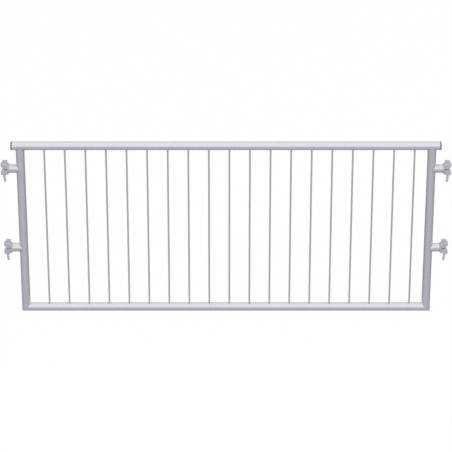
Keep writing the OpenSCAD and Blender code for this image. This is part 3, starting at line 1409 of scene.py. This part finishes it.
@dataclass
class WeldBeads:
    """The beads that hold the panel together."""

    sizes: Sizes
    finish: Finish
    bars: InfillBars
    # How far the middle of a bead stands off what it joins, as shares of its radius
    stand_share: float = 0.3
    bar_stand_share: float = 0.35
    tee_bead: float = 2.3 * MM
    tee_ripple: float = 2.4 * MM
    # Rounds the saddle off at the sides, where tubes of one size are tangent
    tee_ease: float = 1.012
    head_bead: float = 1.6 * MM
    mitre_bead: float = 2.6 * MM
    mitre_crown: float = 0.8 * MM
    # Depth of the ground faces inside the tubes' outer lines
    mitre_ground: float = 0.2 * MM
    # Shift of the corner beads into the inner corner
    mitre_fill: float = 1.1 * MM
    bar_bead: float = 2.1 * MM
    bar_ripple: float = 2.0 * MM

    def build(self) -> None:
        """Lays and dresses all beads."""
        self.lay_rail_beads()
        self.lay_mitre_beads()
        self.lay_head_beads()
        for side in Side:
            self.lay_stub_beads(side)
        self.lay_bar_beads(Level.UPPER, self.sizes.top_z, -1)
        self.lay_bar_beads(Level.LOWER, self.sizes.bottom_z, 1)

    def tee(self, axis_distance: float) -> Workpiece:
        """A bead round a tube that ends on another of the same size, which crosses along X.

        Args:
            axis_distance: Distance along the ending tube to the axis of the other.

        Returns:
            The bead.
        """
        ring = self.sizes.tube_radius + self.stand_share * self.tee_bead
        reach = ring * self.tee_ease

        def rise(angle: float) -> float:
            """Height of the saddle at an angle."""
            return axis_distance - math.sqrt(reach * reach - (ring * math.sin(angle)) ** 2)

        return Workpiece.bead(ring, self.tee_bead, self.tee_ripple, rise)

    def lay_rail_beads(self) -> None:
        """The beads between the posts and the top rail."""
        beads = Workpiece()
        for side in Side:
            place = Matrix.Translation((side.value * self.sizes.post_x, 0.0, 0.0))
            beads.joined(self.tee(self.sizes.top_z).move(place))
        beads.dressed("rail_weld_beads", self.finish, ["rail_welds"])

    def lay_stub_beads(self, side: Side) -> None:
        """The beads between the stubs and one post.

        Args:
            side: End of the panel.
        """
        sizes = self.sizes
        beads = Workpiece()
        for height in sizes.levels.values():
            place = sizes.inward(side, sizes.stub_end, height)
            beads.joined(self.tee(sizes.stub_reach).move(place))
        beads.dressed(f"{side.word}_stub_weld_beads", self.finish, [f"{side.word}_stub_welds"])

    def lay_head_beads(self) -> None:
        """The beads between the heads and their stubs."""
        sizes = self.sizes
        stand = self.stand_share * self.head_bead
        ring = sizes.tube_radius + stand
        beads = Workpiece()
        for side in Side:
            for height in sizes.levels.values():
                bead = Workpiece.bead(ring, self.head_bead, self.tee_ripple, lambda angle: stand)
                beads.joined(bead.move(sizes.inward(side, sizes.stub_end, height)))
        beads.dressed("head_weld_beads", self.finish, ["head_welds"])

    def lay_mitre_beads(self) -> None:
        """The beads round the lower corners, ground flush on the outside."""
        sizes = self.sizes
        ring = sizes.tube_radius + self.mitre_crown - self.mitre_bead
        limit = sizes.post_x + sizes.tube_radius - self.mitre_ground
        distance = sizes.post_x - self.mitre_fill
        height = sizes.bottom_z + self.mitre_fill

        def rise(angle: float) -> float:
            """Height of the mitred edge at an angle."""
            return -ring * math.cos(angle)

        beads = Workpiece()
        for side in Side:
            bead = Workpiece.bead(ring, self.mitre_bead, self.tee_ripple, rise)
            bead.move(sizes.inward(side, distance, height))
            for vert in bead.bm.verts:
                vert.co.x = side.value * min(side.value * vert.co.x, limit)
                vert.co.z = max(vert.co.z, self.mitre_ground)
            beads.joined(bead)
        beads.dressed("corner_weld_beads", self.finish, ["corner_welds"])

    def lay_bar_beads(self, rail: Level, axis_height: float, sign: int) -> None:
        """The beads round the bars on one rail.

        Args:
            rail: The rail, upper or lower.
            axis_height: Height of the rail's axis.
            sign: 1 where the bars stand on the rail, and -1 where they hang from it.
        """
        stand = self.bar_stand_share * self.bar_bead
        ring = self.bars.radius + stand
        reach = self.sizes.tube_radius + stand

        def rise(angle: float) -> float:
            """Height of the rail's surface at an angle."""
            return axis_height + sign * math.sqrt(reach * reach - (ring * math.sin(angle)) ** 2)

        beads = Workpiece()
        for x in self.bars.places.values():
            bead = Workpiece.bead(ring, self.bar_bead, self.bar_ripple, rise)
            beads.joined(bead.move(Matrix.Translation((x, 0.0, 0.0))))
        beads.dressed(f"{rail.value}_bar_weld_beads", self.finish, [f"{rail.value}_bar_welds"])


# Studio


@dataclass
class Studio:
    """Floor, light and camera."""

    floor_half: float = 30.0
    floor_drop: float = 0.5 * MM
    floor_colour: Rgb = (0.03, 0.03, 0.03)
    floor_glow: Rgb = (0.96, 0.96, 0.96)
    floor_roughness: float = 0.9
    sky_front: Rgb = (1.03, 1.03, 1.03)
    sky_back: Rgb = (0.66, 0.66, 0.66)
    # Y of the directions where the sky begins and ends to dim
    sky_turn: Point2 = (0.35, 1.0)
    ground_front: Rgb = (0.58, 0.58, 0.61)
    ground_back: Rgb = (0.31, 0.31, 0.33)
    horizon: float = 0.03
    lamp_place: tuple[float, float, float] = (3.0, -18.0, 15.0)
    lamp_size: float = 15.0
    lamp_power: float = 2500.0
    target_height: float = 547.0 * MM
    distance: float = 14.423
    elevation: float = math.radians(27.61)
    lens_mm: float = 202.6
    sensor_mm: float = 36.0
    clip_end: float = 100.0

    def build(self) -> None:
        """Sets floor, light and camera up."""
        self.build_floor()
        self.build_world()
        self.build_lamp()
        self.build_camera()

    def build_floor(self) -> None:
        """A plain pale floor."""
        work = Workpiece()
        bmesh.ops.create_grid(work.bm, x_segments=1, y_segments=1, size=self.floor_half)
        floor = work.move(Matrix.Translation((0.0, 0.0, -self.floor_drop))).loose_object("studio_floor")
        paint = bpy.data.materials.new("pale_floor")
        paint.use_nodes = True
        paint.node_tree.nodes.clear()
        graph = Graph(paint.node_tree)
        inputs = {
            "Base Color": (*self.floor_colour, 1.0),
            "Roughness": self.floor_roughness,
            "Specular IOR Level": 0.0,
            "Emission Color": (*self.floor_glow, 1.0),
            "Emission Strength": 1.0,
        }
        surface = graph.add("ShaderNodeBsdfPrincipled", "BSDF", {}, inputs)
        graph.add("ShaderNodeOutputMaterial", "", {}, {"Surface": surface})
        floor.data.materials.append(paint)
        floor.visible_glossy = False
        floor.visible_diffuse = False

    def build_world(self) -> None:
        """A tent, bright in front and dimmer behind, over darker ground, which the zinc mirrors."""
        world = bpy.data.worlds.new("light_tent")
        world.use_nodes = True
        world.node_tree.nodes.clear()
        bpy.context.scene.world = world
        graph = Graph(world.node_tree)
        direction = graph.add("ShaderNodeTexCoord", "Generated", {}, {})
        up = graph.add("ShaderNodeSeparateXYZ", "Z", {}, {"Vector": direction})
        back = graph.add("ShaderNodeSeparateXYZ", "Y", {}, {"Vector": direction})
        ground = graph.mixed(graph.step(back, -1.0, 1.0), self.ground_front, self.ground_back)
        sky = graph.mixed(graph.step(back, *self.sky_turn), self.sky_front, self.sky_back)
        tent = graph.mixed(graph.step(up, -self.horizon, self.horizon), ground, sky)
        light = graph.add("ShaderNodeBackground", "Background", {}, {"Color": tent, "Strength": 1.0})
        graph.add("ShaderNodeOutputWorld", "", {}, {"Surface": light})

    def build_lamp(self) -> None:
        """One large soft lamp."""
        lamp = bpy.data.lights.new("soft_lamp", "AREA")
        lamp.size = self.lamp_size
        lamp.energy = self.lamp_power
        holder = bpy.data.objects.new("soft_lamp", lamp)
        holder.location = self.lamp_place
        holder.visible_glossy = False
        aim = Vector((0.0, 0.0, self.target_height)) - holder.location
        holder.rotation_euler = aim.to_track_quat("-Z", "Y").to_euler()
        bpy.context.scene.collection.objects.link(holder)

    def build_camera(self) -> None:
        """The camera at the photograph's place."""
        lens = bpy.data.cameras.new("view")
        lens.lens = self.lens_mm
        lens.sensor_width = self.sensor_mm
        lens.clip_end = self.clip_end
        camera = bpy.data.objects.new("view", lens)
        back = Vector((0.0, -math.cos(self.elevation), math.sin(self.elevation)))
        camera.location = Vector((0.0, 0.0, self.target_height)) + self.distance * back
        camera.rotation_euler = (QUARTER_TURN - self.elevation, 0.0, 0.0)
        scene = bpy.context.scene
        scene.collection.objects.link(camera)
        scene.camera = camera
        scene.view_settings.view_transform = "Standard"


def main() -> None:
    """Builds the studio and the panel, piece by piece."""
    logging.basicConfig(level=logging.INFO, format="%(name)s %(message)s")
    sizes = Sizes.of_frame()
    finishes = FinishSet()
    Studio().build()
    TubeFrame(sizes, finishes.tube).build()
    bars = InfillBars(sizes, finishes.bar)
    bars.build()
    for side in Side:
        for level in Level:
            Connector(sizes, finishes, side, level).build()
    EndCaps(sizes, finishes.cap).build()
    WeldBeads(sizes, finishes.weld, bars).build()


if __name__ == "__main__":
    main()
